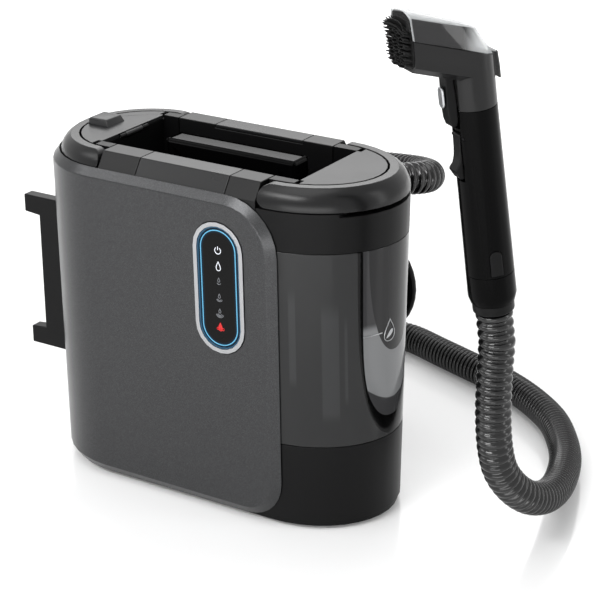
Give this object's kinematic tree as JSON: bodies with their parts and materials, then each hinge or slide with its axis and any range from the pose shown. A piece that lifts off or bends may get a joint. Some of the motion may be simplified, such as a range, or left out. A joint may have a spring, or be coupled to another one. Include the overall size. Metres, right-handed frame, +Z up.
{
  "type": "steam vacuum cleaner",
  "caption": "Upright canister steam vacuum with a clean and a waste tank at its ends, a carry bar in its deck, a touch display and a spray handset on a ribbed hose.",
  "frame": {"origin": "on the floor, under the middle of the box round the whole object without its hose", "axes": "+Z up, +X along the body's length towards the clean tank, -Y towards the display side"},
  "size_m": [0.5548, 0.4848, 0.5042],
  "materials": {
    "panel_grey": "satin metallic grey",
    "deck_grey": "satin dark grey",
    "black_satin": "satin black",
    "smoke_clear": "smoked, see-through",
    "clear_cover": "clear",
    "silver_ring": "satin silver",
    "display_black": "gloss black",
    "light_guide": "lit blue line",
    "hose_grey": "glossy dark grey",
    "rubber_black": "matte",
    "bare_steel": "bare",
    "cast_alloy": "as cast",
    "inner_plastic": "plain",
    "board_green": "solder mask"
  },
  "bodies": {
    "assembly": {"rubber_foot_1": "rubber_black", "rubber_foot_2": "rubber_black", "rubber_foot_3": "rubber_black", "rubber_foot_4": "rubber_black", "base_tray": "black_satin", "base_housing": "black_satin", "wrap_panel": "panel_grey", "display_bezel": "silver_ring", "light_ring": "light_guide", "display_glass": "display_black", "display_board": "board_green", "core_housing": "black_satin", "handle_deck": "black_satin", "front_rim_trim": "deck_grey", "back_rim_trim": "deck_grey", "carry_handle": "deck_grey", "motor_mount": "rubber_black", "suction_motor": "bare_steel", "fan_cover": "black_satin", "steam_boiler": "cast_alloy", "water_pump": "inner_plastic", "control_board": "board_green", "hose_outlet": "black_satin", "cable_hub": "black_satin", "cord_gland": "rubber_black", "side_cleat": "black_satin", "hose": "hose_grey", "cuff_ring": "black_satin", "hose_cuff": "black_satin", "handset_duct": "inner_plastic", "grip_half_near": "black_satin", "grip_half_far": "black_satin", "head_housing": "black_satin", "brush_head": "rubber_black", "spray_nozzle": "silver_ring", "spray_trigger_pin": "bare_steel", "steam_trigger_pin": "bare_steel"},
    "clean_tank_lift": {"clean_tank": "smoke_clear", "clean_tank_collar": "black_satin", "fill_lid_pin": "bare_steel"},
    "clean_tank_bail_swing": {"clean_tank_bail": "deck_grey"},
    "fill_lid_hinge": {"fill_lid": "deck_grey"},
    "tank_valve_lift": {"tank_valve": "rubber_black"},
    "waste_tank_lift": {"waste_tank": "smoke_clear", "waste_tank_collar": "black_satin", "waste_lid_pin": "bare_steel", "separator_tube": "inner_plastic"},
    "waste_tank_bail_swing": {"waste_tank_bail": "deck_grey"},
    "waste_lid_hinge": {"waste_lid": "deck_grey"},
    "float_rise": {"float": "inner_plastic"},
    "fan_spin": {"fan_impeller": "inner_plastic"},
    "clear_cover_lift": {"clear_cover": "clear_cover"},
    "cuff_release_press": {"cuff_release": "black_satin"},
    "spray_trigger_pull": {"spray_trigger": "black_satin", "spray_trigger_cap": "silver_ring"},
    "steam_trigger_pull": {"steam_trigger": "black_satin"}
  },
  "joints": [
    {"name": "clean_tank_lift", "type": "slide", "parent": "assembly", "child": "clean_tank_lift", "axis": [0, 0, 1], "range_m": [0, 0.24]},
    {"name": "waste_tank_lift", "type": "slide", "parent": "assembly", "child": "waste_tank_lift", "axis": [0, 0, 1], "range_m": [0, 0.24]},
    {"name": "clean_tank_bail_swing", "type": "hinge", "parent": "clean_tank_lift", "child": "clean_tank_bail_swing", "pos_m": [0.05049, 0.00853, 0.3101], "axis": [0, -1, 0], "range_deg": [0, 90]},
    {"name": "waste_tank_bail_swing", "type": "hinge", "parent": "waste_tank_lift", "child": "waste_tank_bail_swing", "pos_m": [-0.13739, 0.00853, 0.3101], "axis": [0, 1, 0], "range_deg": [0, 90]},
    {"name": "fill_lid_hinge", "type": "hinge", "parent": "clean_tank_lift", "child": "fill_lid_hinge", "pos_m": [0.06543, 0.00853, 0.3163], "axis": [0, -1, 0], "range_deg": [0, 85]},
    {"name": "waste_lid_hinge", "type": "hinge", "parent": "waste_tank_lift", "child": "waste_lid_hinge", "pos_m": [-0.14479, 0.00853, 0.3163], "axis": [0, 1, 0], "range_deg": [0, 85]},
    {"name": "tank_valve_lift", "type": "slide", "parent": "clean_tank_lift", "child": "tank_valve_lift", "axis": [0, 0, 1], "range_m": [0, 0.005], "stiffness_N_per_m": 200},
    {"name": "float_rise", "type": "slide", "parent": "waste_tank_lift", "child": "float_rise", "axis": [0, 0, 1], "range_m": [0, 0.07]},
    {"name": "fan_spin", "type": "hinge", "parent": "assembly", "child": "fan_spin", "pos_m": [-0.07649, 0.00853, 0.1606], "axis": [0, 0, 1], "continuous": true},
    {"name": "clear_cover_lift", "type": "slide", "parent": "assembly", "child": "clear_cover_lift", "axis": [0.1421, 0.2163, 0.9659], "range_m": [0, 0.04]},
    {"name": "spray_trigger_pull", "type": "hinge", "parent": "assembly", "child": "spray_trigger_pull", "pos_m": [0.23, -0.09078, 0.45178], "axis": [0.8358, -0.549, 0], "range_deg": [0, 5], "stiffness_Nm_per_rad": 0.8},
    {"name": "steam_trigger_pull", "type": "hinge", "parent": "assembly", "child": "steam_trigger_pull", "pos_m": [0.23736, -0.07959, 0.39758], "axis": [0.8358, -0.549, 0], "range_deg": [0, 5], "stiffness_Nm_per_rad": 0.8},
    {"name": "cuff_release_press", "type": "slide", "parent": "assembly", "child": "cuff_release_press", "axis": [-0.7286, 0.6845, 0.023], "range_m": [0, 0.0012], "stiffness_N_per_m": 400}
  ]
}
